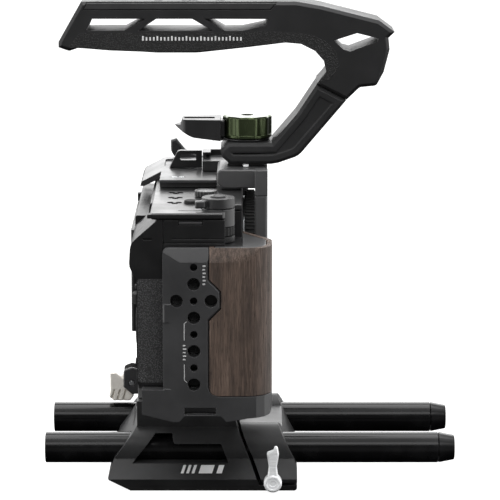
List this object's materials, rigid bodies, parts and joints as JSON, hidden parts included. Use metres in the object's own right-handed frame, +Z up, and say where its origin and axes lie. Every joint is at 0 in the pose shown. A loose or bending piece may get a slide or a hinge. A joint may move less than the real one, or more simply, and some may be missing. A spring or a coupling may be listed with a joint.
{
  "type": "cinema camera rig",
  "caption": "Camera in a metal cage with a wooden grip cover, on a baseplate clamping two long rods, with a pierced top handle on a clamp knob.",
  "frame": {"origin": "underside of the base, midway between the rods and at the middle of their length", "axes": "+X the way the lens looks, +Y to the camera's left, +Z up"},
  "size_m": [0.2, 0.1531, 0.2342],
  "materials": {
    "black_anodised": "satin bead-blasted black anodising",
    "grey_anodised": "satin dark grey anodising",
    "rod_black": "smooth glossy black anodising",
    "silver": "polished silver",
    "champagne": "champagne nickel plating",
    "green_anodised": "glossy dark olive green anodising",
    "walnut": "oiled walnut, straight grain",
    "camera_shell": "fine matt texture",
    "rubber": "matt moulded rubber",
    "screen_glass": "glossy black glass",
    "board": "green solder mask",
    "steel": "bare steel"
  },
  "bodies": {
    "rig": {"base_body": "black_anodised", "quick_release_plate": "black_anodised", "plate_pad": "rubber", "camera_screw": "steel", "lock_housing": "grey_anodised", "lock_pin": "steel", "camera_front_shell": "camera_shell", "camera_rear_shell": "camera_shell", "camera_top_cover": "camera_shell", "camera_grip": "rubber", "lens_mount_ring": "steel", "sensor_stack": "screen_glass", "main_board": "board", "battery": "rubber", "dial_seat": "camera_shell", "dial_tower": "camera_shell", "screen_hinge_pin": "steel", "cage_floor": "grey_anodised", "cage_side_panel": "grey_anodised", "grip_wood": "walnut", "grip_backing": "grey_anodised", "cage_front_column": "grey_anodised", "cage_top_plate": "grey_anodised", "strap_loop": "black_anodised", "cold_shoe": "grey_anodised", "handle_mount_block": "grey_anodised", "handle_shim": "black_anodised", "handle_locating_pin": "silver", "cage_far_plate": "grey_anodised", "handle_strut": "black_anodised", "handle_frame": "black_anodised", "handle_palm_pad": "rubber", "handle_strip_near": "rubber", "handle_strip_far": "rubber", "handle_bolt": "steel"},
    "rod_near": {"rod_near": "rod_black", "rod_cap_near": "rod_black"},
    "rod_far": {"rod_far": "rod_black", "rod_cap_far": "rod_black"},
    "jaw_near": {"rod_jaw_near": "black_anodised"},
    "jaw_far": {"rod_jaw_far": "black_anodised"},
    "clamp_near": {"clamp_lever_near": "silver", "clamp_screw_near": "steel"},
    "clamp_far": {"clamp_lever_far": "silver", "clamp_screw_far": "steel"},
    "lock_lever": {"lock_lever": "champagne"},
    "clamp_knob": {"handle_knob": "green_anodised", "handle_knob_lever": "black_anodised", "handle_stud": "steel"},
    "shutter_button": {"shutter_button": "steel"},
    "zoom_ring": {"zoom_ring": "camera_shell"},
    "front_dial": {"front_dial": "rubber"},
    "mode_dial": {"mode_dial": "camera_shell"},
    "record_button": {"record_button": "rubber"},
    "rear_dial": {"rear_dial": "rubber"},
    "screen": {"screen_frame": "camera_shell", "screen_glass": "screen_glass"},
    "port_cover": {"port_cover": "rubber"},
    "body_cap": {"body_cap": "rubber"}
  },
  "joints": [
    {"name": "rod_near_slide", "type": "slide", "parent": "rig", "child": "rod_near", "axis": [1, 0, 0], "range_m": [-0.06, 0.06]},
    {"name": "rod_far_slide", "type": "slide", "parent": "rig", "child": "rod_far", "axis": [1, 0, 0], "range_m": [-0.06, 0.06]},
    {"name": "jaw_near_slide", "type": "slide", "parent": "rig", "child": "jaw_near", "axis": [0, -1, 0], "range_m": [0, 0.001]},
    {"name": "jaw_far_slide", "type": "slide", "parent": "rig", "child": "jaw_far", "axis": [0, 1, 0], "range_m": [0, 0.001]},
    {"name": "clamp_near_turn", "type": "hinge", "parent": "jaw_near", "child": "clamp_near", "pos_m": [0.011, -0.0503, 0.0057], "axis": [0, -1, 0], "range_deg": [0, 90]},
    {"name": "clamp_far_turn", "type": "hinge", "parent": "jaw_far", "child": "clamp_far", "pos_m": [0.011, 0.0503, 0.0057], "axis": [0, 1, 0], "range_deg": [0, 90]},
    {"name": "lock_lever_turn", "type": "hinge", "parent": "rig", "child": "lock_lever", "pos_m": [-0.0602, 0.03, 0.0365], "axis": [0, 1, 0], "range_deg": [0, 50]},
    {"name": "clamp_knob_turn", "type": "hinge", "parent": "rig", "child": "clamp_knob", "pos_m": [-0.00135, 0, 0.17], "axis": [0, 0, 1], "range_deg": [0, 90]},
    {"name": "shutter_press", "type": "slide", "parent": "rig", "child": "shutter_button", "axis": [0, 0, -1], "range_m": [0, 0.001], "stiffness_N_per_m": 300},
    {"name": "zoom_turn", "type": "hinge", "parent": "rig", "child": "zoom_ring", "pos_m": [-0.0148, -0.07, 0.146], "axis": [0, 0, 1], "range_deg": [-35, 35], "stiffness_Nm_per_rad": 0.01},
    {"name": "front_dial_turn", "type": "hinge", "parent": "rig", "child": "front_dial", "pos_m": [-0.0148, -0.07, 0.133], "axis": [0, 0, 1], "continuous": true},
    {"name": "mode_dial_turn", "type": "hinge", "parent": "rig", "child": "mode_dial", "pos_m": [-0.021, -0.037, 0.145], "axis": [0, 0, 1], "range_deg": [-75, 75]},
    {"name": "record_press", "type": "slide", "parent": "rig", "child": "record_button", "axis": [0, 0, -1], "range_m": [0, 0.0008], "stiffness_N_per_m": 300},
    {"name": "rear_dial_turn", "type": "hinge", "parent": "rig", "child": "rear_dial", "pos_m": [-0.0496, -0.075, 0.102], "axis": [0, 0, 1], "continuous": true},
    {"name": "screen_swing", "type": "hinge", "parent": "rig", "child": "screen", "pos_m": [-0.0552, 0.0526, 0.1], "axis": [0, 0, -1], "range_deg": [0, 170]},
    {"name": "port_cover_swing", "type": "hinge", "parent": "rig", "child": "port_cover", "pos_m": [-0.038, 0.0603, 0.1], "axis": [0, 0, 1], "range_deg": [0, 100]},
    {"name": "body_cap_twist", "type": "hinge", "parent": "rig", "child": "body_cap", "pos_m": [0, 0, 0.1071], "axis": [1, 0, 0], "range_deg": [0, 60]}
  ],
  "couplings": [
    {"joint": "clamp_near_turn", "follows": "jaw_near_slide", "rad_per_m": 1569.2},
    {"joint": "clamp_far_turn", "follows": "jaw_far_slide", "rad_per_m": 1569.2}
  ]
}
